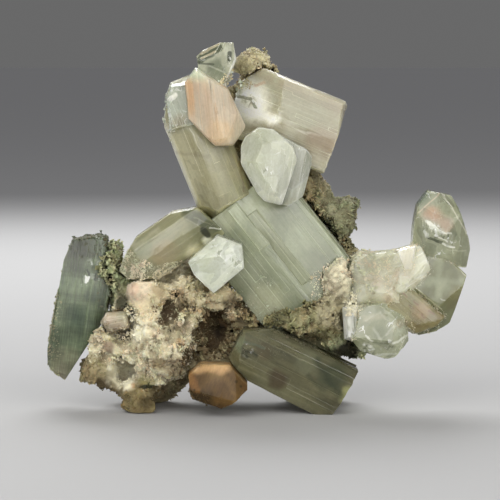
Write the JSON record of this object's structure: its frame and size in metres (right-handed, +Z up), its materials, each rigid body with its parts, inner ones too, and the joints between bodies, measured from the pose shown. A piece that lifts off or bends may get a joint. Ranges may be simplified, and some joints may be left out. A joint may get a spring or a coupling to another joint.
{
  "type": "apophyllite cluster",
  "caption": "Loose mineral specimen: glassy sage-green and clear apophyllite prisms with pink stilbite on a cream and brown drusy rock matrix, resting on its own uneven base.",
  "frame": {"origin": "centre of the specimen's box, on the surface that it rests on", "axes": "+X to the right of the front view, +Y towards the back, +Z up"},
  "size_m": [0.1098, 0.0466, 0.0952],
  "materials": {
    "matrix": "rough, drusy",
    "sage_crystal": "glassy, translucent",
    "cream_crystal": "satin, translucent",
    "pink_crystal": "pearly",
    "clear_crystal": "brilliant, nearly clear",
    "blue_green_crystal": "striated, translucent",
    "smoky_crystal": "glassy, smoky",
    "peach_crystal": "pearly",
    "pale_crystal": "glassy, veiled",
    "lilac_crystal": "glassy"
  },
  "bodies": {
    "root": {"matrix_rock": "matrix", "central_apophyllite": "sage_crystal", "cream_apophyllite": "cream_crystal", "pink_stilbite": "pink_crystal", "bright_apophyllite": "clear_crystal", "dark_apophyllite": "blue_green_crystal", "lower_apophyllite": "smoky_crystal", "peach_stilbite": "peach_crystal", "right_apophyllite": "pale_crystal", "lilac_crystal": "lilac_crystal"}
  },
  "joints": []
}
